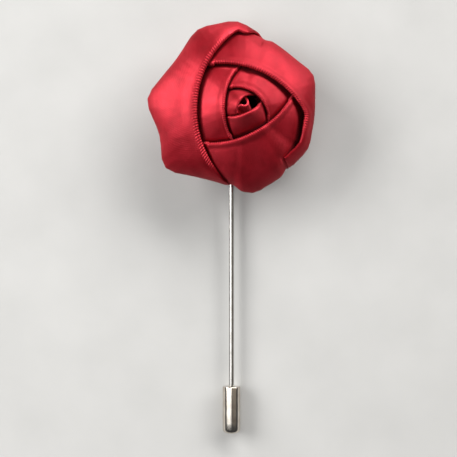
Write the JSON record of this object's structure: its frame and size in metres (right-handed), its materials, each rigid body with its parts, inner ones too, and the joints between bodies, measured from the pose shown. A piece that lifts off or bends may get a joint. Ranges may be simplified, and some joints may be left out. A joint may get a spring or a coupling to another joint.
{
  "type": "flower lapel pin",
  "caption": "Satin ribbon rose on a straight stick pin, with a felt back and a round metal cap that pulls off the point.",
  "frame": {"origin": "middle of the rose, on the face of the felt, where the brooch lies on the cloth", "axes": "+Z out of the front of the rose, -Y along the pin towards its point and cap, +X to the right in the front view"},
  "size_m": [0.0406, 0.1008, 0.022],
  "materials": {
    "satin": "red polyester satin ribbon, glossy along the folds, with fine ribs at its edges",
    "felt": "dark red pressed felt, matt",
    "pin_metal": "nickel-plated wire, bright with fine drawing lines",
    "cap_metal": "nickel-plated turned cap, bright with a brown-grey cast"
  },
  "bodies": {
    "brooch": {"bud": "satin", "petal_1": "satin", "petal_2": "satin", "petal_3": "satin", "petal_4": "satin", "petal_5": "satin", "petal_6": "satin", "petal_7": "satin", "felt_back": "felt", "pin": "pin_metal"},
    "cap": {"cap": "cap_metal"}
  },
  "joints": [
    {"name": "cap_slide", "type": "slide", "parent": "brooch", "child": "cap", "axis": [0, -1, 0], "range_m": [0, 0.03]}
  ]
}
